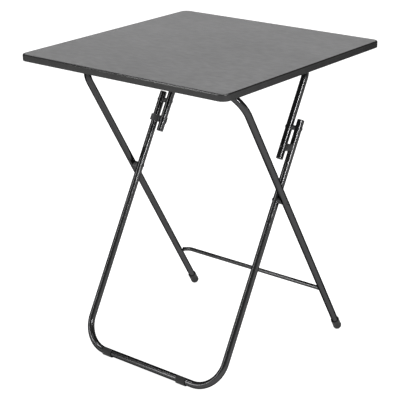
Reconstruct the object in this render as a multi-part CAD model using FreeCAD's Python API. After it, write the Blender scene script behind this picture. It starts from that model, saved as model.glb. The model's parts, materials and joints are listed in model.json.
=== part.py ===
import FreeCAD, Part
import math
import os

# A square folding tray table, opened out and standing on the floor.
# Millimetres, +Z up. The origin is on the floor under the middle of the tabletop.
# X runs along the two hinge lines, Y runs across them. Left is -X and right is +X.

V = FreeCAD.Vector
X = V(1, 0, 0)
Y = V(0, 1, 0)
Z = V(0, 0, 1)
SIDES = {"left": -1, "right": 1}

# Overall sizes
table_height = 704.0
top_width = 560.0  # along X
top_depth = 560.0  # along Y

# Tabletop: a faced board with a rounded edge band
laminate_thickness = 0.8
core_thickness = 13.6
backing_thickness = 0.6
band_thickness = 3.5
band_round_top = 3.0
band_round_bottom = 2.0
top_corner_radius = 18.0
sheet_groove = 0.6  # between the edge band and each facing sheet

# Bent tubes
tube_diameter = 16.0
tube_wall = 1.2
leg_bend_radius = 67.0  # outer and inner frame, at the centre line
link_bend_radius = 50.0
brace_diameter = 10.0
brace_bow = 15.0  # from the outer frame's plane to the straight part of the brace
brace_end_lift = 8.5  # the same at the brace's two ends
brace_ramp = 18.0  # along X, from a brace end to its straight part
brace_bend_radius = 40.0
brace_height = 108.0  # where the legs carry the brace
brace_end_inset = 5.0  # from the leg's centre line to the brace's end

# Where the frames stand
side_overhang = 59.0  # tabletop's side edge to the outer legs
pivot_gap = 7.7  # between an outer and an inner leg
link_gap = 8.4  # between an inner and a link leg
outer_hinge_setback = 120.0  # from the front edge of the tabletop
link_hinge_setback = 114.3  # from the rear edge
outer_foot_setback = 47.0  # from the rear edge, at the floor
inner_foot_setback = 63.0  # from the front edge, at the floor
hinge_drop = 15.5  # underside of the tabletop to both hinge axes
inner_leg_past_link = 20.0  # inner leg beyond its joint with the link frame
link_leg_past_clip = 28.5  # link leg beyond the locking clip

# Feet
cap_length = 30.0
cap_wall = 2.0
cap_floor = 4.0
cap_round = 7.0
glide_length = 25.0
glide_thickness = 2.3
glide_centre = {"left": -118.0, "right": 102.0}
glide_wrap = (100.0, 370.0)  # degrees from +Y towards +Z; the rest is open

# Plugs in the open tube ends
plug_head = 2.0
plug_stem = 12.0
plug_chamfer = 0.7

# Hinge brackets: a cradle under the board and a strap round the tube
bracket_length = 52.0  # along Y
cradle_width = 22.0  # along X
cradle_corner = 3.0
strap_width = 18.0
strap_thickness = 1.5
strap_rise = 5.0  # strap flange above the hinge axis
strap_end_margin = 2.0
outer_bracket_x = 110.0
link_bracket_x = 80.0
screw_spacing = 35.0  # along Y
screw_radius = 1.75
screw_head_radius = 3.5
screw_head_height = 2.4
screw_bite = 9.0  # into the core board

# Pivots and fasteners
pin_radius = 2.5
pin_head_radius = 4.2
pin_head_height = 1.1
dome_rise = 0.2  # height of a domed head's curve over its radius
pivot_washer_radius = 6.5
link_washer_radius = 5.5
washer_chamfer = 0.8
clip_rivet_radius = 1.6
clip_rivet_head_radius = 3.2
clip_rivet_head_height = 1.5

# Locking clip: riveted to the link leg, with a hook over the front of the inner leg
clip_length = 15.0
clip_from_link_joint = 46.0  # along the leg, joint to the clip's middle
clip_rear_wall = 2.5
clip_hook_wall = 3.6
clip_rear_wrap = (-115.0, 30.0)  # about the link leg, degrees from outwards towards the front
clip_hook_wrap = (50.0, 180.0)  # about the inner leg, the same way
clip_web_start = 5.5  # from the link leg's axis
clip_web_front = 4.0  # the web's front and rear faces, from the plane of the two axes
clip_web_rear = 6.5

# Clearances
running_clearance = 0.08  # radial, a pin or tube that turns in its seat
face_clearance = 0.4  # between washers or heads that turn against each other
clip_clearance = 0.4  # hook to the inner leg
overlap = 1.0  # a cutting tool reaches this far past the piece
tolerance = 1e-6  # two points closer than this are the same point

# Worked out from the sizes above
tube_radius = tube_diameter / 2
tube_bore_radius = tube_radius - tube_wall
brace_radius = brace_diameter / 2
top_thickness = laminate_thickness + core_thickness + backing_thickness
underside = table_height - top_thickness
hinge_height = underside - hinge_drop
outer_half = top_width / 2 - side_overhang
inner_half = outer_half - tube_diameter - pivot_gap
link_half = inner_half - tube_diameter - link_gap
pivot_face = inner_half + tube_radius + pivot_gap / 2  # where the pivot's washers meet
link_face = link_half + tube_radius + link_gap / 2  # where the link joint's washers meet


class Frame:
    """The plane of one bent tube: its hinge axis, the way its legs run down, and its normal."""

    def __init__(self, hinge_y, floor_y):
        self.hinge = V(0, hinge_y, hinge_height)
        self.down = (V(0, floor_y, 0) - self.hinge).normalize()
        across = X.cross(self.down)
        self.normal = across if across.z > 0 else across * -1  # the side that faces up

    def at(self, x, along, lift=0.0):
        return self.hinge + X * x + self.down * along + self.normal * lift

    def along_to_height(self, height):
        return (self.hinge.z - height) / -self.down.z


outer = Frame(outer_hinge_setback - top_depth / 2, top_depth / 2 - outer_foot_setback)
link = Frame(top_depth / 2 - link_hinge_setback, inner_foot_setback - top_depth / 2)

# The legs cross at the pivot. The link joint is placed so that all four axes come into
# one line when the table folds flat.
hinge_span = link.hinge.y - outer.hinge.y
crossing_sine = outer.down.y * -link.down.z + link.down.y * outer.down.z
outer_to_pivot = hinge_span * -link.down.z / crossing_sine
link_to_pivot = hinge_span * -outer.down.z / crossing_sine
joint_to_pivot = (link_to_pivot + outer_to_pivot - hinge_span) / 2
link_to_joint = link_to_pivot - joint_to_pivot
pivot = outer.at(0, outer_to_pivot)
link_joint = link.at(0, link_to_joint)

inner_top = link_to_joint - inner_leg_past_link
inner_bar = link.along_to_height(tube_radius + glide_thickness)
clip_middle = link_to_joint + clip_from_link_joint
link_end = clip_middle + link_leg_past_clip
cap_radius = tube_radius + cap_wall
cap_end_height = (cap_radius - cap_round) * outer.down.y + cap_round * (1 + outer.down.z)
outer_end = outer.along_to_height(cap_end_height)


def save(node, shape):
    """Writes one sub-part, which has to be one or more valid solids."""
    assert shape.isValid() and shape.Solids, node
    shape.exportStep(os.path.join("parts", node + ".step"))


def rod(radius, start, end):
    return Part.makeCylinder(radius, (end - start).Length, start, end - start)


def x_rod(radius, centre, x_from, x_to):
    """A rod along X through a point in the plane x = 0."""
    low, high = sorted((x_from, x_to))
    return rod(radius, centre + X * low, centre + X * high)


def arc(centre, axis_a, axis_b, radius, start, end):
    """An arc edge, with its angles in degrees from axis_a towards axis_b."""
    points = []
    for angle in (start, (start + end) / 2, end):
        turn = math.radians(angle)
        spoke = axis_a * math.cos(turn) + axis_b * math.sin(turn)
        points.append(centre + spoke * radius)
    return Part.Arc(*points).toShape()


def ring_sector(centre, axis_a, axis_b, inner_radius, outer_radius, angles, sweep):
    """A part of a ring, extruded along the vector sweep."""
    start, end = angles
    inside = arc(centre, axis_a, axis_b, inner_radius, start, end)
    outside = arc(centre, axis_a, axis_b, outer_radius, start, end)
    first = Part.LineSegment(inside.Vertexes[0].Point, outside.Vertexes[0].Point).toShape()
    last = Part.LineSegment(inside.Vertexes[-1].Point, outside.Vertexes[-1].Point).toShape()
    outline = Part.Wire(Part.sortEdges([inside, last, outside, first])[0])
    return Part.Face(outline).extrude(sweep)


def slab(low, edge_a, edge_b, edge_c):
    """A block from one corner and its three edge vectors."""
    corners = [low, low + edge_a, low + edge_a + edge_b, low + edge_b, low]
    return Part.Face(Part.makePolygon(corners)).extrude(edge_c)


def sweep_rod(edges, radius):
    """A round rod along joined edges that start with a straight run."""
    path = Part.Wire(edges)
    start = edges[0].Vertexes[0].Point
    heading = edges[0].Vertexes[-1].Point - start
    section = Part.Wire(Part.makeCircle(radius, start, heading))
    return path.makePipeShell([section], True, True)


def mirrored_path(end, bend_start, bend_middle, bend_end):
    """A path with two bends, the same on both sides of the plane x = 0, from its points at -X."""
    first = [end, bend_start, bend_middle, bend_end]
    last = [V(-point.x, point.y, point.z) for point in first]
    return [
        Part.LineSegment(first[0], first[1]).toShape(),
        Part.Arc(first[1], first[2], first[3]).toShape(),
        Part.LineSegment(first[3], last[3]).toShape(),
        Part.Arc(last[3], last[2], last[1]).toShape(),
        Part.LineSegment(last[1], last[0]).toShape(),
    ]


def u_path(frame, half_width, bar, end, bend):
    """Centre line of a U: two straight legs and a bar, joined by two bends."""
    turn = math.copysign(1, end - bar)
    inset = bend * (1 - math.sqrt(0.5))
    return mirrored_path(
        frame.at(-half_width, end),
        frame.at(-half_width, bar + turn * bend),
        frame.at(inset - half_width, bar + turn * inset),
        frame.at(bend - half_width, bar),
    )


def u_tube(path):
    return sweep_rod(path, tube_radius).cut(sweep_rod(path, tube_bore_radius))


def leg_core(frame, x):
    """A solid rod in the place of one leg, used to cut seats that hug the leg."""
    return rod(tube_radius, frame.at(x, 0), frame.at(x, frame.along_to_height(0)))


def board(width, depth, corner, bottom, top):
    """A slab with rounded corners, centred on the Z axis."""
    block = Part.makeBox(width, depth, top - bottom, V(-width / 2, -depth / 2, bottom))
    uprights = [e for e in block.Edges if abs(e.tangentAt(0).z) > 0.5]
    return block.makeFillet(corner, uprights)


def rim(shape, height):
    """The edges of a shape that lie at one height."""
    found = []
    for edge in shape.Edges:
        box = edge.BoundBox
        if abs(box.ZMin - height) < tolerance and abs(box.ZMax - height) < tolerance:
            found.append(edge)
    return found


def end_rim(body, end):
    """The round edge of a rod at its end point."""
    return [e for e in body.Edges if e.Closed and (e.CenterOfMass - end).Length < tolerance]


def disc(radius, chamfer, start, end):
    """A thick disc from start to end, with its far rim chamfered."""
    body = rod(radius, start, end)
    return body.makeChamfer(chamfer, end_rim(body, end))


def domed_head(radius, height, base, outwards):
    """A rivet or screw head: a dome on a short rim, its flat face at base."""
    rim_height = height - radius * dome_rise
    sphere_radius = (radius**2 + (radius * dome_rise) ** 2) / (2 * radius * dome_rise)
    half_angle = math.asin(radius / sphere_radius) / 2
    sideways = outwards.cross(X if abs(outwards.x) < 0.5 else Y).normalize()
    centre = base + outwards * (height - sphere_radius)
    rim_bottom = base + sideways * radius
    rim_top = rim_bottom + outwards * rim_height
    crown = base + outwards * height
    shoulder = centre + (
        outwards * math.cos(half_angle) + sideways * math.sin(half_angle)
    ) * sphere_radius
    outline = Part.Wire(
        [
            Part.LineSegment(base, rim_bottom).toShape(),
            Part.LineSegment(rim_bottom, rim_top).toShape(),
            Part.Arc(rim_top, shoulder, crown).toShape(),
            Part.LineSegment(crown, base).toShape(),
        ]
    )
    return Part.Face(outline).revolve(base, outwards, 360)


def seated_head(radius, height, centre, outwards, leg):
    """A domed head that hugs a leg, from a point on the leg's axis."""
    return domed_head(radius, tube_radius + height, centre, outwards).cut(leg)


def seated_washer(radius, bore, joint, leg_x, face_x, leg):
    """A washer on a joint along X: it hugs the leg at leg_x and is flat at face_x."""
    past_face = face_x + math.copysign(overlap, face_x - leg_x)
    washer = disc(radius, washer_chamfer, joint + X * leg_x, joint + X * face_x)
    return washer.cut(leg).cut(x_rod(bore, joint, leg_x, past_face))


def make_tabletop():
    inner_width = top_width - 2 * band_thickness
    inner_depth = top_depth - 2 * band_thickness
    inner_corner = top_corner_radius - band_thickness
    core_bottom = underside + backing_thickness
    core_top = table_height - laminate_thickness

    def facing(bottom, top):
        return board(
            inner_width - 2 * sheet_groove,
            inner_depth - 2 * sheet_groove,
            inner_corner - sheet_groove,
            bottom,
            top,
        )

    band = board(top_width, top_depth, top_corner_radius, underside, table_height)
    band = band.makeFillet(band_round_top, rim(band, table_height))
    band = band.makeFillet(band_round_bottom, rim(band, underside))
    band = band.cut(
        board(inner_width, inner_depth, inner_corner, underside - overlap, table_height + overlap)
    )
    pilots = Part.makeCompound(
        [rod(screw_radius, p, p + Z * (backing_thickness + screw_bite)) for p in screw_places()]
    )
    save("top_edge_band", band)
    save("top_laminate", facing(core_top, table_height))
    core = board(inner_width, inner_depth, inner_corner, core_bottom, core_top)
    save("top_core_board", core.cut(pilots))
    save("top_backing_sheet", facing(underside, core_bottom).cut(pilots))


def bracket_places():
    """Each hinge bracket's name and the point on its hinge axis."""
    places = []
    for name, frame, reach in (("outer", outer, outer_bracket_x), ("link", link, link_bracket_x)):
        for side, sign in SIDES.items():
            places.append((f"{name}_hinge", side, frame.at(sign * reach, 0)))
    return places


def screw_places():
    """Points on the tabletop's underside, one for each bracket screw."""
    points = []
    for _, _, axis_point in bracket_places():
        for way in (-1, 1):
            points.append(V(axis_point.x, axis_point.y + way * screw_spacing / 2, underside))
    return points


def make_hinge_brackets():
    seat_radius = tube_radius + running_clearance
    strap_radius = seat_radius + strap_thickness
    flange_top = hinge_height + strap_rise
    flange_reach = bracket_length / 2 - strap_end_margin
    cradle_height = underside - flange_top
    screw_holes = [rod(screw_radius, V(p.x, p.y, hinge_height), p) for p in screw_places()]
    for name, side, axis_point in bracket_places():
        low = V(axis_point.x - cradle_width / 2, axis_point.y - bracket_length / 2, flange_top)
        cradle = Part.makeBox(cradle_width, bracket_length, cradle_height, low)
        uprights = [e for e in cradle.Edges if abs(e.tangentAt(0).z) > 0.5]
        cradle = cradle.makeFillet(cradle_corner, uprights)
        groove_start = axis_point - X * cradle_width
        cradle = cradle.cut(rod(seat_radius, groove_start, groove_start + X * 2 * cradle_width))
        save(f"{name}_cradle_{side}", cradle.cut(Part.makeCompound(screw_holes)))

        across = X * strap_width
        start = axis_point - across / 2
        strap = ring_sector(start, Y, Z, seat_radius, strap_radius, (180, 360), across)
        for way in (-1, 1):
            wall = slab(
                start + Y * way * seat_radius, Y * way * strap_thickness, Z * strap_rise, across
            )
            flange = slab(
                start + Y * way * seat_radius + Z * (strap_rise - strap_thickness),
                Y * way * (flange_reach - seat_radius),
                Z * strap_thickness,
                across,
            )
            strap = strap.fuse([wall, flange])
        save(f"{name}_strap_{side}", strap.removeSplitter().cut(Part.makeCompound(screw_holes)))

    screws = []
    head_seat = flange_top - strap_thickness
    for point in screw_places():
        under_head = V(point.x, point.y, head_seat)
        tip = point + Z * (backing_thickness + screw_bite)
        head = domed_head(screw_head_radius, screw_head_height, under_head, -Z)
        screws.append(rod(screw_radius, under_head, tip).fuse(head).removeSplitter())
    save("hinge_screws", Part.makeCompound(screws))


def make_outer_frame():
    tube = u_tube(u_path(outer, outer_half, 0, outer_end - cap_floor, leg_bend_radius))
    pins = [x_rod(pin_radius, pivot, s * pivot_face, s * top_width / 2) for s in SIDES.values()]
    save("outer_frame_tube", tube.cut(Part.makeCompound(pins)))

    brace_along = outer.along_to_height(brace_height)
    end_x = outer_half - brace_end_inset
    ramp_x = end_x - brace_ramp
    slope = math.atan2(brace_bow - brace_end_lift, brace_ramp)
    tangent = brace_bend_radius * math.tan(slope / 2)
    sag = brace_bend_radius * (1 / math.cos(slope / 2) - 1)
    end = outer.at(-end_x, brace_along, brace_end_lift)
    corner = outer.at(-ramp_x, brace_along, brace_bow)
    up_ramp = (end - corner).normalize()
    bisector = (up_ramp + X).normalize()
    path = mirrored_path(
        end, corner + up_ramp * tangent, corner + bisector * sag, corner + X * tangent
    )
    brace = sweep_rod(path, brace_radius)
    for sign in SIDES.values():
        brace = brace.cut(leg_core(outer, sign * outer_half))
    save("outer_cross_brace", brace)

    for side, sign in SIDES.items():
        leg = leg_core(outer, sign * outer_half)
        cap_top = outer.at(sign * outer_half, outer_end - cap_length)
        cap_end = outer.at(sign * outer_half, outer_end)
        cap = rod(cap_radius, cap_top, cap_end)
        cap = cap.makeFillet(cap_round, end_rim(cap, cap_end))
        tube_end = outer.at(sign * outer_half, outer_end - cap_floor)
        above = outer.at(sign * outer_half, outer_end - cap_length - overlap)
        save(f"outer_foot_cap_{side}", cap.cut(rod(tube_radius, above, tube_end)))

        axis_x = sign * outer_half
        crest = sign * (outer_half + tube_radius)
        head = seated_head(pin_head_radius, pin_head_height, pivot + X * axis_x, X * sign, leg)
        far_head_x = sign * (inner_half - tube_radius - face_clearance)
        far_head = domed_head(pin_head_radius, pin_head_height, pivot + X * far_head_x, X * -sign)
        shaft = x_rod(pin_radius, pivot, far_head_x, crest)
        save(f"pivot_rivet_{side}", shaft.fuse([head, far_head]).removeSplitter())

        face_x = sign * (pivot_face + face_clearance / 2)
        washer = seated_washer(pivot_washer_radius, pin_radius, pivot, axis_x, face_x, leg)
        save(f"pivot_washer_outer_{side}", washer)


def end_plug(tube_end, outwards):
    """A flat plastic plug: a head on the end of a tube and a stem inside it."""
    head = disc(tube_radius, plug_chamfer, tube_end, tube_end + outwards * plug_head)
    return head.fuse(rod(tube_bore_radius, tube_end - outwards * plug_stem, tube_end))


def make_inner_frame():
    tube = u_tube(u_path(link, inner_half, inner_bar, inner_top + plug_head, leg_bend_radius))
    loose = pin_radius + running_clearance
    holes = []
    for sign in SIDES.values():
        holes.append(x_rod(loose, pivot, sign * link_half, sign * pivot_face))
        holes.append(x_rod(pin_radius, link_joint, sign * link_face, sign * pivot_face))
    save("inner_frame_tube", tube.cut(Part.makeCompound(holes)))

    bar_centre = link.at(0, inner_bar)
    for side, sign in SIDES.items():
        leg = leg_core(link, sign * inner_half)
        tube_end = link.at(sign * inner_half, inner_top + plug_head)
        save(f"inner_end_plug_{side}", end_plug(tube_end, -link.down))

        glide = ring_sector(
            bar_centre + X * (glide_centre[side] - glide_length / 2),
            Y,
            Z,
            tube_radius,
            tube_radius + glide_thickness,
            glide_wrap,
            X * glide_length,
        )
        save(f"floor_glide_{side}", glide)

        axis_x = sign * inner_half
        face_x = sign * (pivot_face - face_clearance / 2)
        washer = seated_washer(pivot_washer_radius, loose, pivot, axis_x, face_x, leg)
        save(f"pivot_washer_inner_{side}", washer)

        face_x = sign * (link_face + face_clearance / 2)
        washer = seated_washer(link_washer_radius, pin_radius, link_joint, axis_x, face_x, leg)
        save(f"link_washer_outer_{side}", washer)

        crest = sign * (inner_half + tube_radius)
        head = seated_head(pin_head_radius, pin_head_height, link_joint + X * axis_x, X * sign, leg)
        shaft = x_rod(pin_radius, link_joint, face_x, crest)
        save(f"link_rivet_outer_{side}", shaft.fuse(head).removeSplitter())


def make_clip(sign):
    """The locking clip: a wrap behind the link leg, a web in the gap and a hook."""
    outwards = X * sign
    front = link.normal
    start = clip_middle - clip_length / 2
    length = link.down * clip_length
    link_axis = link.at(sign * link_half, start)
    inner_axis = link.at(sign * inner_half, start)
    hook_radius = tube_radius + clip_clearance
    hook_outer = hook_radius + clip_hook_wall
    pitch = inner_half - link_half

    rear = ring_sector(
        link_axis, outwards, front, tube_radius, tube_radius + clip_rear_wall, clip_rear_wrap, length
    )
    web = slab(
        link_axis + outwards * clip_web_start - front * clip_web_rear,
        outwards * (pitch - clip_web_start),
        front * (clip_web_front + clip_web_rear),
        length,
    )
    hook = ring_sector(
        inner_axis, outwards, front, hook_radius, hook_outer, clip_hook_wrap, length
    )
    clip = rear.fuse([web, hook]).removeSplitter()
    beyond = link.down * overlap
    leg = rod(tube_radius, link_axis - beyond, link_axis + length + beyond)
    mouth = rod(hook_radius, inner_axis - beyond, inner_axis + length + beyond)
    exit_way = slab(
        inner_axis - beyond - outwards * hook_radius - front * tube_diameter,
        outwards * hook_radius * 2,
        front * tube_diameter,
        length + beyond * 2,
    )
    return clip.cut(leg).cut(mouth).cut(exit_way)


def make_link_frame():
    front = link.normal
    tube = u_tube(u_path(link, link_half, 0, link_end - plug_head, link_bend_radius))
    holes = []
    for sign in SIDES.values():
        holes.append(x_rod(pin_radius, link_joint, sign * link_bracket_x, sign * link_face))
        leg_middle = link.at(sign * link_half, clip_middle)
        reach = front * tube_diameter
        holes.append(rod(clip_rivet_radius, leg_middle - reach, leg_middle + reach))
    holes = Part.makeCompound(holes)
    save("link_frame_tube", tube.cut(holes))

    for side, sign in SIDES.items():
        leg = leg_core(link, sign * link_half)
        tube_end = link.at(sign * link_half, link_end - plug_head)
        save(f"link_end_plug_{side}", end_plug(tube_end, link.down))

        axis_x = sign * link_half
        face_x = sign * (link_face - face_clearance / 2)
        washer = seated_washer(link_washer_radius, pin_radius, link_joint, axis_x, face_x, leg)
        save(f"link_washer_inner_{side}", washer)

        crest = sign * (link_half - tube_radius)
        head = seated_head(pin_head_radius, pin_head_height, link_joint + X * axis_x, X * -sign, leg)
        shaft = x_rod(pin_radius, link_joint, crest, face_x)
        save(f"link_rivet_inner_{side}", shaft.fuse(head).removeSplitter())

        save(f"locking_clip_{side}", make_clip(sign).cut(holes))

        leg_middle = link.at(axis_x, clip_middle)
        rear_seat = leg_middle - front * (tube_radius + clip_rear_wall)
        front_head = seated_head(
            clip_rivet_head_radius, clip_rivet_head_height, leg_middle, front, leg
        )
        rear_head = domed_head(clip_rivet_head_radius, clip_rivet_head_height, rear_seat, -front)
        shaft = rod(clip_rivet_radius, rear_seat, leg_middle + front * tube_radius)
        save(f"clip_rivet_{side}", shaft.fuse([front_head, rear_head]).removeSplitter())


os.makedirs("parts", exist_ok=True)
make_tabletop()
make_hinge_brackets()
make_outer_frame()
make_inner_frame()
make_link_frame()
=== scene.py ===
import json
import math

import bpy
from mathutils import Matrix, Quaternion, Vector


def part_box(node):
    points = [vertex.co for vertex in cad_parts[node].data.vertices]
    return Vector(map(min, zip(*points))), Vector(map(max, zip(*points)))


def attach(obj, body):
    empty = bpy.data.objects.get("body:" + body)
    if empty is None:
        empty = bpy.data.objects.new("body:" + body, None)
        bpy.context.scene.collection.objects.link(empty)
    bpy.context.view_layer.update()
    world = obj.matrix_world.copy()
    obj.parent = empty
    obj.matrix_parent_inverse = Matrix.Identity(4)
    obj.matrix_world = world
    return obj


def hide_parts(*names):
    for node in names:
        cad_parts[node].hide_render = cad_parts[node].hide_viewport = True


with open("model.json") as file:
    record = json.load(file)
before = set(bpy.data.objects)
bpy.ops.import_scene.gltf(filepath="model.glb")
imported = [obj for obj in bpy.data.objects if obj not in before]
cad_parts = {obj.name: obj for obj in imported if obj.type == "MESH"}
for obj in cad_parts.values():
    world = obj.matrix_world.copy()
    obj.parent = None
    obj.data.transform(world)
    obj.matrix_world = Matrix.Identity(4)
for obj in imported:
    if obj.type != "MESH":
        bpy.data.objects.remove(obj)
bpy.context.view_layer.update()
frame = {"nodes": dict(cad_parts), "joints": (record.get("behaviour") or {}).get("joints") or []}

X = Vector((1, 0, 0))
Z = Vector((0, 0, 1))

# ---------------------------------------------------------------------------------------
# The facing of the tabletop: a thin sheet of slate-grey melamine, pressed onto the board.
# Its printed mottle is faint, and its surface has a fine, slightly drawn-out grain.
# ---------------------------------------------------------------------------------------


class Wire:
    """An output socket in a material's node tree. Arithmetic on wires adds Math nodes."""

    def __init__(self, tree, socket=None):
        self.tree = tree
        self.socket = socket

    def node(self, kind, settings, sockets, output=0):
        """Adds a node, applies its settings, then fills its sockets with values or wires."""
        made = self.tree.nodes.new("ShaderNode" + kind)
        for name, value in settings.items():
            if name == "stops":
                ramp = made.color_ramp.elements
                while len(ramp) < len(value):
                    ramp.new(0.5)
                for stop, (place, shade) in zip(ramp, value):
                    stop.position = place
                    stop.color = (*([shade] * 3 if isinstance(shade, float) else shade), 1)
            else:
                setattr(made, name, value)
        for name, value in sockets.items():
            if isinstance(value, Wire):
                self.tree.links.new(value.socket, made.inputs[name])
            else:
                made.inputs[name].default_value = value
        return Wire(self.tree, made.outputs[output])

    def math(self, operation, first, second):
        return self.node("Math", {"operation": operation}, {0: first, 1: second})

    def __add__(self, other):
        return self.math("ADD", self, other)

    def __radd__(self, other):
        return self.math("ADD", other, self)

    def __sub__(self, other):
        return self.math("SUBTRACT", self, other)

    def __rsub__(self, other):
        return self.math("SUBTRACT", other, self)

    def __mul__(self, other):
        return self.math("MULTIPLY", self, other)

    def __rmul__(self, other):
        return self.math("MULTIPLY", other, self)

    def noise(self, place, scale, detail=3.0):
        """Noise from 0 to 1, with scale in waves per metre."""
        return self.node("TexNoise", {}, {"Vector": place, "Scale": scale, "Detail": detail})

    def between(self, factor, dark, light):
        """A colour from dark to light."""
        return self.node(
            "Mix",
            {"data_type": "RGBA"},
            {0: factor, 6: (*dark, 1), 7: (*light, 1)},
            output=2,
        )

    def stretched(self, scale=(1.0, 1.0, 1.0)):
        """Object coordinates, scaled along each axis."""
        place = self.node("TexCoord", {}, {}, output=3)
        return self.node("Mapping", {}, {"Vector": place, "Scale": scale})

    def ramp(self, factor, start, end):
        """Climbs from 0 at start to 1 at end."""
        return self.node("ValToRGB", {"stops": [(start, 0.0), (end, 1.0)]}, {"Fac": factor})

    def worn(self, start, end):
        """The sharp outer edges of a piece, where its finish wears first."""
        return self.ramp(self.node("NewGeometry", {}, {}, output=7), start, end)


def finish(name, paint, constants, relief):
    """A material: paint(wire) gives the sockets that vary and the height of the relief."""
    material = bpy.data.materials.new(name)
    material.use_nodes = True
    tree = material.node_tree
    shader = tree.nodes["Principled BSDF"]
    for socket, value in constants.items():
        shader.inputs[socket].default_value = value
    varying, height = paint(Wire(tree))
    for socket, wire in varying.items():
        tree.links.new(wire.socket, shader.inputs[socket])
    bump = height.node("Bump", {}, {"Height": height, "Distance": relief, "Strength": 1.0})
    tree.links.new(bump.socket, shader.inputs["Normal"])
    return material


def slate(wire):
    grain = wire.noise(wire.stretched((1.0, 5.0, 1.0)), 110.0, 5.0)
    cloud = wire.noise(wire.stretched((1.0, 1.6, 1.0)), 9.0, 4.0)
    speck = wire.noise(wire.stretched(), 900.0, 2.0)
    streak = wire.noise(wire.stretched((1.0, 2.4, 1.0)), 48.0, 4.0)
    tone = 0.2 * cloud + 0.45 * streak + 0.25 * grain + 0.1 * speck
    colour = wire.between(wire.ramp(tone, 0.38, 0.62), (0.080, 0.080, 0.081), (0.118, 0.118, 0.119))
    return {"Base Color": colour, "Roughness": 0.44 + 0.16 * grain}, 0.6 * grain + 0.4 * speck


slate_facing = finish("slate_facing", slate, {"Specular IOR Level": 0.4}, 0.00012)


def deselect():
    """An operator acts on everything that is selected, so nothing stays selected."""
    bpy.ops.object.select_all(action="DESELECT")


def take(piece):
    """Selects one piece alone and makes it the active one."""
    deselect()
    piece.select_set(True)
    bpy.context.view_layer.objects.active = piece


def settle(name):
    """Names the object just made, and puts its place, turn and scale into its mesh."""
    piece = bpy.context.object
    piece.name = name
    bpy.ops.object.transform_apply(location=True, rotation=True, scale=True)
    return piece


def slab(name, low, high, corner, sides=16):
    """A flat board with rounded corners."""
    deselect()
    bpy.ops.mesh.primitive_cube_add(size=1, location=(low + high) / 2, scale=high - low)
    piece = settle(name)
    round_edges(piece, lambda a, b: abs(a.z - b.z) > 1e-6, corner, sides)
    return piece


def clear_picks(mesh):
    """Deselects every vertex, edge and face."""
    for elements in (mesh.vertices, mesh.edges, mesh.polygons):
        elements.foreach_set("select", [False] * len(elements))


def round_edges(piece, wanted, width, steps):
    """Bevels the edges for which wanted(one end, other end) is true."""
    bpy.context.tool_settings.mesh_select_mode = (False, True, False)
    mesh = piece.data
    clear_picks(mesh)
    for edge in mesh.edges:
        one, other = (mesh.vertices[i] for i in edge.vertices)
        if wanted(one.co, other.co):
            edge.select = one.select = other.select = True
    bpy.ops.object.mode_set(mode="EDIT")
    bpy.ops.mesh.bevel(offset=width, offset_type="OFFSET", segments=steps)
    bpy.ops.object.mode_set(mode="OBJECT")


def round_rim(piece, height, width, steps):
    """Rounds the rim of a board at one height."""
    round_edges(piece, lambda a, b: max(abs(a.z - height), abs(b.z - height)) < 1e-6, width, steps)


def pick_faces(piece, wanted):
    """Selects the faces for which wanted(face) is true, and goes into edit mode."""
    bpy.context.tool_settings.mesh_select_mode = (False, False, True)
    clear_picks(piece.data)
    for face in piece.data.polygons:
        face.select = wanted(face)
    bpy.ops.object.mode_set(mode="EDIT")


def done(piece, body, material, angle=35.0):
    """Smooths a finished piece, gives it its material and lets it ride on its body."""
    take(piece)
    bpy.ops.object.shade_smooth_by_angle(angle=math.radians(angle))
    piece.data.materials.clear()
    piece.data.materials.append(material)
    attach(piece, body)
    return piece


facing_low, facing_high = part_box("top_laminate")
band_corner = 0.018
band_thickness = 0.0035
sheet_groove = 0.0006
facing_corner = band_corner - band_thickness - sheet_groove
facing_ease = 0.0003
facing = slab("slate_facing_sheet", facing_low, facing_high, facing_corner)
round_rim(facing, facing_high.z, facing_ease, 3)
done(facing, "tabletop", slate_facing)
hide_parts("top_laminate")

# ---------------------------------------------------------------------------------------
# The edge band: a charcoal plastic strip, glued round the board and rounded over top and
# bottom, with a hairline groove between it and the facing.
# ---------------------------------------------------------------------------------------


def pebbled(dark, light, roughness):
    """Moulded plastic: a fine pebble, a faint flow pattern and slightly uneven gloss."""

    def paint(wire):
        place = wire.stretched()
        pebble = wire.noise(place, 1400.0, 2.0)
        flow = wire.noise(place, 45.0, 3.0)
        worn = wire.worn(0.52, 0.62)
        colour = wire.between(0.7 * flow + 0.3 * pebble + 0.25 * worn, dark, light)
        return {"Base Color": colour, "Roughness": roughness - 0.08 + 0.16 * flow}, pebble

    return paint


# A metallic shader with no edge tint gives a black gloss that stays dark where it is seen
# at a slant.
deep_gloss = {"Metallic": 1.0, "Specular Tint": (0, 0, 0, 1)}
band_plastic = finish(
    "band_plastic",
    pebbled((0.034, 0.034, 0.034), (0.054, 0.054, 0.054), 0.22),
    {**deep_gloss, "Metallic": 0.8},
    0.000004,
)

band_low, band_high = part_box("top_edge_band")
round_top = 0.003
round_bottom = 0.002
broad_face = 0.2  # square metres, more than any side of the band
band = slab("edge_band_ring", band_low, band_high, band_corner)
round_rim(band, band_high.z, round_top, 8)
round_rim(band, band_low.z, round_bottom, 6)
for height, rounded in ((band_high.z, round_top), (band_low.z, round_bottom)):
    pick_faces(band, lambda face: face.area > broad_face and abs(face.center.z - height) < 1e-6)
    bpy.ops.mesh.inset(thickness=band_thickness - rounded)
    bpy.ops.object.mode_set(mode="OBJECT")
pick_faces(band, lambda face: face.area > broad_face)
bpy.ops.mesh.bridge_edge_loops()
bpy.ops.object.mode_set(mode="OBJECT")
done(band, "tabletop", band_plastic)
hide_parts("top_edge_band")

# ---------------------------------------------------------------------------------------
# The board itself: a fibreboard core, hidden but for the groove, and a sheet of plain
# dark paper glued to its underside.
# ---------------------------------------------------------------------------------------


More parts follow.
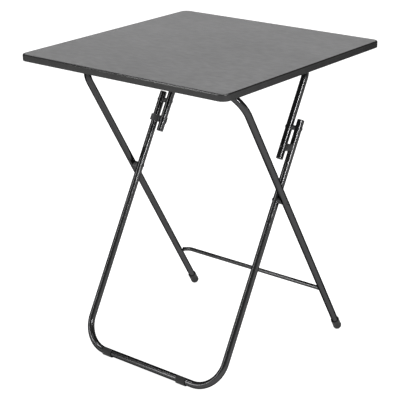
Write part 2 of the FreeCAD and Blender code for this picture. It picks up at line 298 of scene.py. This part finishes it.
def fibres(wire):
    chips = wire.noise(wire.stretched((1.0, 1.0, 6.0)), 260.0, 6.0)
    colour = wire.between(chips, (0.10, 0.075, 0.05), (0.22, 0.17, 0.11))
    return {"Base Color": colour, "Roughness": 0.8 + 0.15 * chips}, chips


def paper(wire):
    fibre = wire.noise(wire.stretched((1.0, 3.0, 1.0)), 420.0, 5.0)
    cloud = wire.noise(wire.stretched(), 14.0, 3.0)
    colour = wire.between(0.5 * fibre + 0.5 * cloud, (0.045, 0.045, 0.047), (0.085, 0.085, 0.088))
    return {"Base Color": colour, "Roughness": 0.62 + 0.2 * fibre}, fibre


def dress(node, material):
    """Gives a carried-over piece its finish."""
    for slot in frame["nodes"][node].material_slots:
        slot.material = material


dress("top_core_board", finish("fibreboard", fibres, {}, 0.0001))
dress("top_backing_sheet", finish("backing_paper", paper, {}, 0.00004))

# ---------------------------------------------------------------------------------------
# Hinge cradles: moulded plastic blocks under the board. A half-round groove in each one
# lets the frame's top bar turn.
# ---------------------------------------------------------------------------------------

SIDES = {"left": -1, "right": 1}
moulded_plastic = finish(
    "moulded_plastic",
    pebbled((0.014, 0.014, 0.015), (0.028, 0.028, 0.029), 0.5),
    {"Specular IOR Level": 0.45},
    0.00004,
)


def modify(piece, kind, **settings):
    """Shapes the active piece with one modifier."""
    modifier = piece.modifiers.new("shaping", kind)
    for name, value in settings.items():
        setattr(modifier, name, value)
    bpy.ops.object.modifier_apply(modifier=modifier.name)


def eased_copy(node, name, width):
    """A piece with the shape of a CAD node and its sharp edges rounded over."""
    piece = frame["nodes"][node].copy()
    piece.data = piece.data.copy()
    for key in [key for key in piece.keys() if key.startswith("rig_")]:
        del piece[key]
    piece.parent = None
    piece.name = name
    bpy.context.scene.collection.objects.link(piece)
    take(piece)
    bpy.ops.object.mode_set(mode="EDIT")
    bpy.ops.mesh.select_all(action="SELECT")
    bpy.ops.mesh.remove_doubles(threshold=0.000002)
    bpy.ops.mesh.customdata_custom_splitnormals_clear()
    bpy.ops.mesh.dissolve_limited(angle_limit=math.radians(1.0))
    bpy.ops.object.mode_set(mode="OBJECT")
    modify(piece, "BEVEL", width=width, segments=3, limit_method="ANGLE", angle_limit=math.radians(32.0))
    return piece


def replace_eased(node, name, width, body, material):
    """Puts an eased copy of a CAD node in the node's place."""
    piece = done(eased_copy(node, name, width), body, material)
    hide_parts(node)


moulded_ease = 0.0006
for hinge in ("outer", "link"):
    for side in SIDES:
        replace_eased(
            f"{hinge}_hinge_cradle_{side}",
            f"{hinge}_cradle_block_{side}",
            moulded_ease,
            "tabletop",
            moulded_plastic,
        )

# ---------------------------------------------------------------------------------------
# Hinge straps: black-coated steel strip, pressed into a saddle round the top bar, with a
# flange and a screw hole on each side.
# ---------------------------------------------------------------------------------------


def coated(wire):
    place = wire.stretched()
    peel = wire.noise(place, 300.0, 2.0)
    drift = wire.noise(place, 22.0, 3.0)
    shade = 0.6 * drift + 0.4 * peel + 0.5 * wire.worn(0.53, 0.64)
    colour = wire.between(shade, (0.040, 0.040, 0.041), (0.062, 0.062, 0.063))
    return {"Base Color": colour, "Roughness": 0.10 + 0.08 * drift + 0.03 * peel}, peel


powder_coat = finish("powder_coat", coated, deep_gloss, 0.0000012)

strip_ease = 0.0004
for hinge in ("outer", "link"):
    for side in SIDES:
        replace_eased(
            f"{hinge}_hinge_strap_{side}",
            f"{hinge}_strap_saddle_{side}",
            strip_ease,
            "tabletop",
            powder_coat,
        )

# ---------------------------------------------------------------------------------------
# Screws: zinc-plated, pan-headed, with a cross recess. Each bracket has two, through the
# strap and the cradle into the board.
# ---------------------------------------------------------------------------------------


def turned(name, base, axis, outline, sides=32):
    """A turned piece: outline is (distance along the axis, radius) for each ring."""
    deselect()
    (first, radius), (second, next_radius) = outline[:2]
    turn = axis.to_track_quat("Z", "Y").to_euler()
    middle = base + axis * (first + second) / 2
    bpy.ops.mesh.primitive_cone_add(
        vertices=sides,
        radius1=radius,
        radius2=next_radius,
        depth=second - first,
        location=middle,
        rotation=turn,
    )
    piece = settle(name)
    pick_faces(piece, lambda face: len(face.vertices) == sides and face.normal.dot(axis) > 0.9)
    at, radius = second, next_radius
    for along, ring_radius in outline[2:]:
        bpy.ops.mesh.extrude_region_move(TRANSFORM_OT_translate={"value": axis * (along - at)})
        share = ring_radius / radius
        bpy.ops.transform.resize(value=(share, share, share), center_override=base + axis * along)
        at, radius = along, ring_radius
    bpy.ops.object.mode_set(mode="OBJECT")
    return piece


def dome(radius, start, rise, steps=6):
    """Rings of a domed head, from its rim at start up to its crown."""
    ball = (radius**2 + rise**2) / (2 * rise)
    widest = math.asin(radius / ball)
    rings = []
    for step in range(1, steps):
        lean = widest * (1 - step / steps)
        rings.append((start + rise - ball * (1 - math.cos(lean)), ball * math.sin(lean)))
    return rings


def cut_with(piece, tool):
    """Cuts a tool's shape out of a piece, then removes the tool."""
    take(piece)
    modify(piece, "BOOLEAN", object=tool, operation="DIFFERENCE", solver="EXACT")
    bpy.data.objects.remove(tool)


def zinc(wire):
    place = wire.stretched()
    bloom = wire.noise(place, 700.0, 4.0)
    stain = wire.noise(place, 160.0, 3.0)
    colour = wire.between(0.5 * bloom + 0.5 * stain, (0.38, 0.38, 0.37), (0.68, 0.68, 0.66))
    return {"Base Color": colour, "Roughness": 0.26 + 0.25 * stain}, bloom


zinc_plate = finish("zinc_plate", zinc, {"Metallic": 1.0}, 0.00002)
screw_radius = 0.00175
screw_head_radius = 0.0035
screw_head_height = 0.0024
screw_rise = 0.0009
screw_crown = 0.0002
screw_tip_radius = 0.0006
screw_taper_start = 0.0105
screw_offset = 0.0175  # from the middle of a bracket to each of its screws
recess_depth = 0.0014
recess_width = 0.0009
recess_span = 0.0040
recess_run_out = 0.001
screw_low, screw_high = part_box("hinge_screws")
screw_head_seat = screw_low.z + screw_head_height
screw_spots = []
for hinge in ("outer", "link"):
    for side in SIDES:
        low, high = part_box(f"{hinge}_hinge_strap_{side}")
        middle = (low + high) / 2
        for way, name in ((-1, "front"), (1, "rear")):
            spot = Vector((middle.x, middle.y + way * screw_offset, screw_head_seat))
            screw_spots.append((f"{hinge}_screw_{side}_{name}", spot))
for name, spot in screw_spots:
    rim = screw_head_height - screw_rise
    outline = [(screw_low.z - screw_high.z + screw_head_height, screw_tip_radius)]
    outline += [(-screw_taper_start, screw_radius), (0.0, screw_radius)]
    outline += [(0.0, screw_head_radius), (rim, screw_head_radius)]
    outline += dome(screw_head_radius, rim, screw_rise) + [(screw_head_height, screw_crown)]
    screw = turned(name, spot, -Z, outline, 28)
    for size in ((recess_span, recess_width, 0), (recess_width, recess_span, 0)):
        deselect()
        centre = spot - Z * (screw_head_height - recess_depth / 2 + recess_run_out / 2)
        blade = Vector(size) + Z * (recess_depth + recess_run_out)
        bpy.ops.mesh.primitive_cube_add(size=1, location=centre, scale=blade)
        cut_with(screw, settle("recess_cutter"))
    done(screw, "tabletop", zinc_plate)
    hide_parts("hinge_screws")

# ---------------------------------------------------------------------------------------
# The outer frame: one length of 16 mm steel tube, bent twice into a U, with the bar of
# the U at the top. It is black powder coated after its cross brace is welded on.
# ---------------------------------------------------------------------------------------

tube_radius = 0.008
tube_wall = 0.0012
leg_bend = 0.067
axis_of = {joint["name"]: Vector(joint["pos_m"]) for joint in frame["joints"]}
outer_hinge = axis_of["outer_frame_fold"]
link_hinge = axis_of["link_frame_fold"]
pivot = axis_of["inner_frame_fold"]
outer_down = (pivot - outer_hinge).normalized()


def reach(start, heading, height):
    """The point where a line comes to a height."""
    return start + heading * ((height - start.z) / heading.z)


def bent_tube(name, end, bar, half_width, bend, sides=40, bend_steps=20):
    """A tube that runs up a leg, round a bend, along the bar and back down the other leg."""
    deselect()
    up = (bar - end).normalized()
    run = (bar - end).length - bend
    turn_axis = X.cross(up)
    bpy.ops.mesh.primitive_circle_add(
        vertices=sides,
        radius=tube_radius,
        location=end - X * half_width,
        rotation=up.to_track_quat("Z", "Y").to_euler(),
    )
    piece = settle(name)
    bpy.context.tool_settings.mesh_select_mode = (False, True, False)
    bpy.ops.object.mode_set(mode="EDIT")
    bpy.ops.mesh.select_all(action="SELECT")
    bend_start = end - X * half_width + up * run
    bpy.ops.mesh.extrude_region_move(TRANSFORM_OT_translate={"value": up * run})
    bpy.ops.mesh.spin(steps=bend_steps, angle=math.pi / 2, center=bend_start + X * bend, axis=turn_axis)
    bpy.ops.mesh.extrude_region_move(TRANSFORM_OT_translate={"value": X * 2 * (half_width - bend)})
    far_centre = end + X * (half_width - bend) + up * run
    bpy.ops.mesh.spin(steps=bend_steps, angle=math.pi / 2, center=far_centre, axis=turn_axis)
    bpy.ops.mesh.extrude_region_move(TRANSFORM_OT_translate={"value": -up * run})
    bpy.ops.mesh.select_all(action="SELECT")
    bpy.ops.mesh.remove_doubles(threshold=0.00001)
    bpy.ops.mesh.normals_make_consistent(inside=False)
    bpy.ops.object.mode_set(mode="OBJECT")
    modify(piece, "SOLIDIFY", thickness=tube_wall, offset=-1)
    return piece


def rim_reach(heading):
    """How far the rim of a tube's cut end goes above and below its middle."""
    return tube_radius * math.hypot(heading.x, heading.y)


outer_low, outer_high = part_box("outer_frame_tube")
outer_half = outer_high.x - tube_radius
outer_end = reach(outer_hinge, outer_down, outer_low.z + rim_reach(outer_down))
outer_tube = bent_tube("outer_bent_tube", outer_end, outer_hinge, outer_half, leg_bend)
done(outer_tube, "outer_frame", powder_coat)
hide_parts("outer_frame_tube")

# ---------------------------------------------------------------------------------------
# The cross brace: 10 mm steel rod with its ends bent in, cut to hug both outer legs and
# welded to them. A low bead of weld runs round each end, under the coat.
# ---------------------------------------------------------------------------------------

rod_ease = 0.0003
replace_eased(
    "outer_cross_brace", "outer_brace_rod", rod_ease, "outer_frame", powder_coat
)
brace_radius = 0.005
brace_height = 0.108
brace_bow = 0.015
brace_lift = 0.0085
brace_ramp = 0.018
brace_end_inset = 0.005
brace_slope = math.atan2(brace_bow - brace_lift, brace_ramp)
puddle_count = 24
puddle_radius = 0.0014
puddle_ripple = 0.12
puddle_slack = 0.0005
weld_grain = 0.00035
outer_up = Vector((0, -outer_down.z, outer_down.y))
brace_spot = reach(outer_hinge, outer_down, brace_height)
for side, sign in SIDES.items():
    deselect()
    inwards = X * -sign * math.cos(brace_slope) + outer_up * math.sin(brace_slope)
    round_brace = inwards.cross(outer_down)
    puddles = []
    for step in range(puddle_count):
        turn = math.tau * step / puddle_count
        spoke = outer_down * math.cos(turn) + round_brace * math.sin(turn)
        rim_point = X * -sign * brace_end_inset + outer_up * brace_lift + spoke * brace_radius
        across = rim_point - outer_down * rim_point.dot(outer_down)
        heading = inwards - outer_down * inwards.dot(outer_down)
        slant = across.dot(heading)
        room = slant**2 - heading.length_squared * (across.length_squared - tube_radius**2)
        if room < 0:
            continue
        along = (math.sqrt(room) - slant) / heading.length_squared
        if along < -puddle_slack:
            continue
        centre = brace_spot + X * sign * outer_half + rim_point + inwards * along
        ripple = 1 + puddle_ripple * math.sin(5 * turn)
        bpy.ops.mesh.primitive_ico_sphere_add(
            subdivisions=2, radius=puddle_radius * ripple, location=centre
        )
        puddles.append(bpy.context.object)
    for puddle in puddles:
        puddle.select_set(True)
    bpy.ops.object.join()
    weld = settle(f"brace_weld_{side}")
    modify(weld, "REMESH", mode="VOXEL", voxel_size=weld_grain)
    done(weld, "outer_frame", powder_coat, 180.0)

# ---------------------------------------------------------------------------------------
# Foot caps: soft black plastic, pushed over the open ends of the outer legs. Each has a
# rounded base and a shallow waist between its base and its mouth.
# ---------------------------------------------------------------------------------------


def soft_black(wire):
    place = wire.stretched()
    dust = wire.noise(place, 60.0, 4.0)
    pores = wire.noise(place, 1100.0, 2.0)
    colour = wire.between(0.65 * dust + 0.35 * pores, (0.006, 0.006, 0.006), (0.016, 0.016, 0.016))
    return {"Base Color": colour, "Roughness": 0.58 + 0.2 * dust}, pores


foot_plastic = finish("foot_plastic", soft_black, {"Specular IOR Level": 0.35}, 0.00005)
cap_radius = 0.010
cap_waist = 0.0098
cap_length = 0.030
cap_floor = 0.004
cap_round = 0.007
cap_round_steps = 8
waist_start = 0.0105
waist_end = 0.0262
waist_slope = 0.0007
mouth_ease = 0.0005
for side, sign in SIDES.items():
    outline = [(0.0, cap_radius - cap_round)]
    for step in range(1, cap_round_steps + 1):
        lean = math.radians(90) * step / cap_round_steps
        outline.append(
            (cap_round * (1 - math.cos(lean)), cap_radius - cap_round * (1 - math.sin(lean)))
        )
    outline += [(waist_start, cap_radius), (waist_start + waist_slope, cap_waist)]
    outline += [(waist_end - waist_slope, cap_waist), (waist_end, cap_radius)]
    outline += [(cap_length - mouth_ease, cap_radius), (cap_length, cap_radius - mouth_ease)]
    outline += [(cap_length, tube_radius), (cap_floor, tube_radius)]
    cap_base = outer_end + X * sign * outer_half + outer_down * cap_floor
    cap = turned(f"outer_foot_boot_{side}", cap_base, -outer_down, outline, 48)
    done(cap, "outer_frame", foot_plastic)
    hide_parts(f"outer_foot_cap_{side}")

# ---------------------------------------------------------------------------------------
# Pivot rivets and washers: a steel rivet goes through each pair of crossing legs, with
# two moulded washers between them.
# ---------------------------------------------------------------------------------------

rivet_ease = 0.0002
washer_ease = 0.0003
for side in SIDES:
    replace_eased(
        f"pivot_rivet_{side}", f"pivot_pin_{side}", rivet_ease, "outer_frame", powder_coat
    )
    for frame_name in ("outer", "inner"):
        replace_eased(
            f"pivot_washer_{frame_name}_{side}",
            f"pivot_spacer_{frame_name}_{side}",
            washer_ease,
            f"{frame_name}_frame",
            moulded_plastic,
        )

# ---------------------------------------------------------------------------------------
# The inner frame: the same tube, bent into a U with its bar on the floor. Plugs close its
# upper ends, and two plastic glides are clipped on to the bar.
# ---------------------------------------------------------------------------------------

joint_low, joint_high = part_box("link_rivet_outer_left")
link_joint = Vector((0, (joint_low.y + joint_high.y) / 2, (joint_low.z + joint_high.z) / 2))
link_down = (link_joint - link_hinge).normalized()
inner_low, inner_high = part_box("inner_frame_tube")
inner_half = inner_high.x - tube_radius
inner_bar = reach(link_hinge, link_down, inner_low.z + tube_radius)
inner_end = reach(link_hinge, link_down, inner_high.z - rim_reach(link_down))
inner_tube = bent_tube("inner_bent_tube", inner_end, inner_bar, inner_half, leg_bend)
done(inner_tube, "inner_frame", powder_coat)
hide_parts("inner_frame_tube")


plug_stem = 0.012
plug_head = 0.002
plug_dish_radius = 0.0056
plug_dish_depth = 0.0006
glide_ease = 0.0005


def end_plug(node, name, tube_end, outwards, body):
    """A plug in an open tube end: a stem inside the tube and a dished head with an eased rim."""
    bore = tube_radius - tube_wall
    outline = [(-plug_stem, bore), (0.0, bore), (0.0, tube_radius)]
    outline += [(plug_head - 0.0007, tube_radius), (plug_head - 0.0003, tube_radius - 0.0002)]
    outline += [(plug_head, tube_radius - 0.0007), (plug_head, plug_dish_radius)]
    outline += [(plug_head - 0.0004, plug_dish_radius - 0.0003)]
    outline += [(plug_head - plug_dish_depth, plug_dish_radius - 0.001)]
    plug = done(turned(name, tube_end, outwards, outline, 40), body, moulded_plastic)
    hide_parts(node)


for side, sign in SIDES.items():
    end_plug(
        f"inner_end_plug_{side}",
        f"inner_plug_{side}",
        inner_end + X * sign * inner_half,
        -link_down,
        "inner_frame",
    )
    replace_eased(
        f"floor_glide_{side}", f"floor_shoe_{side}", glide_ease, "inner_frame", foot_plastic
    )
    replace_eased(
        f"link_washer_outer_{side}",
        f"link_spacer_outer_{side}",
        washer_ease,
        "inner_frame",
        moulded_plastic,
    )
    replace_eased(
        f"link_rivet_outer_{side}",
        f"link_pin_outer_{side}",
        rivet_ease,
        "inner_frame",
        powder_coat,
    )

# ---------------------------------------------------------------------------------------
# The link frame: a short U of the same tube, hinged under the board. Its legs carry the
# joint with the inner frame, and plugs close their ends.
# ---------------------------------------------------------------------------------------

link_bend = 0.050
link_low, link_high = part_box("link_frame_tube")
link_half = link_high.x - tube_radius
link_end = reach(link_hinge, link_down, link_low.z + rim_reach(link_down))
link_tube = bent_tube("link_bent_tube", link_end, link_hinge, link_half, link_bend)
done(link_tube, "link_frame", powder_coat)
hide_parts("link_frame_tube")
for side, sign in SIDES.items():
    end_plug(
        f"link_end_plug_{side}",
        f"link_plug_{side}",
        link_end + X * sign * link_half,
        link_down,
        "link_frame",
    )
    replace_eased(
        f"link_washer_inner_{side}",
        f"link_spacer_inner_{side}",
        washer_ease,
        "link_frame",
        moulded_plastic,
    )
    replace_eased(
        f"link_rivet_inner_{side}",
        f"link_pin_inner_{side}",
        rivet_ease,
        "link_frame",
        powder_coat,
    )

# ---------------------------------------------------------------------------------------
# Locking clips: moulded plastic, each riveted to a leg of the link frame. The hook comes
# over the front of the inner leg and holds the table open.
# ---------------------------------------------------------------------------------------

clip_plastic = finish(
    "clip_plastic",
    pebbled((0.020, 0.020, 0.021), (0.038, 0.038, 0.039), 0.55),
    {"Specular IOR Level": 0.4},
    0.00005,
)
for side in SIDES:
    replace_eased(
        f"locking_clip_{side}",
        f"locking_hook_{side}",
        moulded_ease,
        "link_frame",
        clip_plastic,
    )
    replace_eased(
        f"clip_rivet_{side}", f"clip_pin_{side}", rivet_ease, "link_frame", powder_coat
    )

# ---------------------------------------------------------------------------------------
# The studio: a pale, softly glowing floor and round wall, a large soft light overhead, a
# small one high on the left, and two narrow strips that draw thin lights on the tubes.
# ---------------------------------------------------------------------------------------


def painted_floor(wire):
    drift = wire.noise(wire.stretched(), 0.7, 2.0)
    colour = wire.between(drift, (0.34, 0.34, 0.34), (0.37, 0.37, 0.37))
    return {"Base Color": colour, "Roughness": 0.7 + 0.1 * drift}, drift


floor_glow = {"Specular IOR Level": 0.1, "Emission Color": (1, 1, 1, 1), "Emission Strength": 0.93}
floor_size = 60.0
wall_radius = 28.0
wall_height = 6.0
deselect()
bpy.ops.mesh.primitive_plane_add(size=floor_size)
floor = bpy.context.object
floor.name = "floor"
floor.data.materials.append(finish("floor_paint", painted_floor, floor_glow, 0.0))

deselect()
bpy.ops.mesh.primitive_cylinder_add(
    vertices=96,
    radius=wall_radius,
    depth=wall_height,
    end_fill_type="NOTHING",
    location=Z * wall_height / 2,
)
wall = bpy.context.object
wall.name = "studio_wall"
wall.data.materials.append(floor.data.materials[0])


def softbox(name, place, aim, width, height, power):
    bpy.ops.object.light_add(type="AREA", location=place)
    light = bpy.context.object
    light.name = name
    light.data.shape = "RECTANGLE"
    light.data.size = width
    light.data.size_y = height
    light.data.energy = power
    light.rotation_euler = (Vector(aim) - Vector(place)).to_track_quat("-Z", "Y").to_euler()


softbox("overhead_light", (0.2, 0.4, 3.2), (0.0, 0.0, 0.4), 2.2, 2.2, 79.0)
softbox("upper_left_light", (-1.5, -1.0, 2.7), (0.0, -0.2, 0.7), 0.5, 0.5, 18.0)
softbox("left_strip", (-1.7, -2.6, 1.6), (0.0, 0.0, 0.4), 0.25, 2.0, 22.0)
softbox("right_strip", (2.7, -1.2, 1.85), (0.0, 0.0, 0.5), 0.12, 1.1, 45.0)

surround_strength = 0.35
surround = bpy.data.worlds.new("surround")
surround.use_nodes = True
surround.node_tree.nodes["Background"].inputs["Color"].default_value = (1, 1, 1, 1)
surround.node_tree.nodes["Background"].inputs["Strength"].default_value = surround_strength
bpy.context.scene.world = surround
bpy.context.scene.view_settings.view_transform = "Standard"

# ---------------------------------------------------------------------------------------
# The camera: a long lens, above the tabletop, looking at the near corner.
# ---------------------------------------------------------------------------------------

camera_place = Vector((1.6477, -2.0280, 1.3275))
yaw = math.radians(-39.31)
pitch = math.radians(20.55)
roll = math.radians(0.84)
bpy.ops.object.camera_add(location=camera_place)
camera = bpy.context.object
camera.name = "camera"
camera.data.lens = 110.2
camera.data.sensor_width = 36.0
ahead = Vector((math.sin(yaw) * math.cos(pitch), math.cos(yaw) * math.cos(pitch), -math.sin(pitch)))
camera.rotation_mode = "QUATERNION"
camera.rotation_quaternion = Quaternion(ahead, roll) @ ahead.to_track_quat("-Z", "Y")
bpy.context.scene.camera = camera
